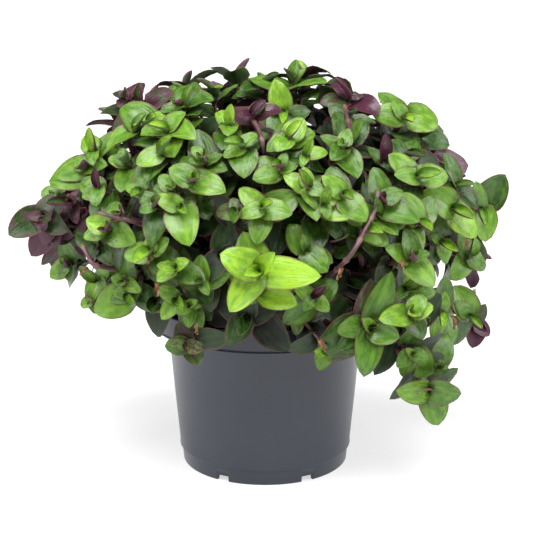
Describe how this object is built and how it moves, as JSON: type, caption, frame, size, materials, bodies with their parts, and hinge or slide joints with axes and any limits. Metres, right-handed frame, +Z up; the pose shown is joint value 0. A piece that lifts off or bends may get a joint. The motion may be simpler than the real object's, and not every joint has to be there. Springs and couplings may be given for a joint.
{
  "type": "potted turtle vine",
  "caption": "Trailing small-leaved house plant in a round tapered nursery pot with a banded rim and a notched foot.",
  "frame": {"origin": "on the pot's axis, in the plane of the foot that it stands on", "axes": "+Z up; the front of the plant faces -Y; +X to the right seen from the front"},
  "size_m": [0.2515, 0.2116, 0.2084],
  "materials": {
    "pot_plastic": "satin moulded slate-grey plastic",
    "potting_soil": "coarse damp peat and bark",
    "green_growth": "waxy green leaves with reddish edges on brown-purple stems",
    "purple_growth": "waxy purple-backed leaves on purple stems"
  },
  "bodies": {
    "root": {"pot": "pot_plastic", "potting_soil": "potting_soil", "shoot_back_1": "green_growth", "shoot_back_10": "green_growth", "shoot_back_11": "green_growth", "shoot_back_2": "green_growth", "shoot_back_3": "green_growth", "shoot_back_4": "green_growth", "shoot_back_5": "green_growth", "shoot_back_6": "green_growth", "shoot_back_7": "green_growth", "shoot_back_8": "green_growth", "shoot_back_9": "green_growth", "shoot_crown_right": "green_growth", "shoot_crown_right_purple": "purple_growth", "shoot_front": "green_growth", "shoot_front_left": "green_growth", "shoot_front_left_low": "green_growth", "shoot_front_right": "green_growth", "shoot_left_big": "green_growth", "shoot_left_crown_green": "green_growth", "shoot_left_crown_purple": "purple_growth", "shoot_left_far_green": "green_growth", "shoot_left_far_purple": "purple_growth", "shoot_left_inner": "green_growth", "shoot_left_inner_low": "green_growth", "shoot_left_low": "green_growth", "shoot_left_low_dark": "green_growth", "shoot_left_low_round": "green_growth", "shoot_left_middle": "green_growth", "shoot_left_purple": "purple_growth", "shoot_left_trailing": "green_growth", "shoot_middle": "green_growth", "shoot_middle_left": "green_growth", "shoot_middle_left_low": "green_growth", "shoot_middle_right": "green_growth", "shoot_middle_right_top": "green_growth", "shoot_middle_top": "green_growth", "shoot_right_big": "green_growth", "shoot_right_edge": "green_growth", "shoot_right_edge_low": "green_growth", "shoot_right_hanging": "green_growth", "shoot_right_hanging_back": "green_growth", "shoot_right_high": "green_growth", "shoot_right_high_dark": "green_growth", "shoot_right_middle": "green_growth", "shoot_right_purple": "purple_growth", "shoot_right_rim": "green_growth", "shoot_right_tube": "purple_growth", "shoot_rim_small": "green_growth", "shoot_top": "green_growth", "shoot_top_left": "green_growth", "shoot_top_left_low": "green_growth", "shoot_top_purple": "purple_growth", "shoot_upper_left": "green_growth", "shoot_upper_left_arch": "green_growth", "shoot_upper_left_round": "green_growth"}
  },
  "joints": []
}
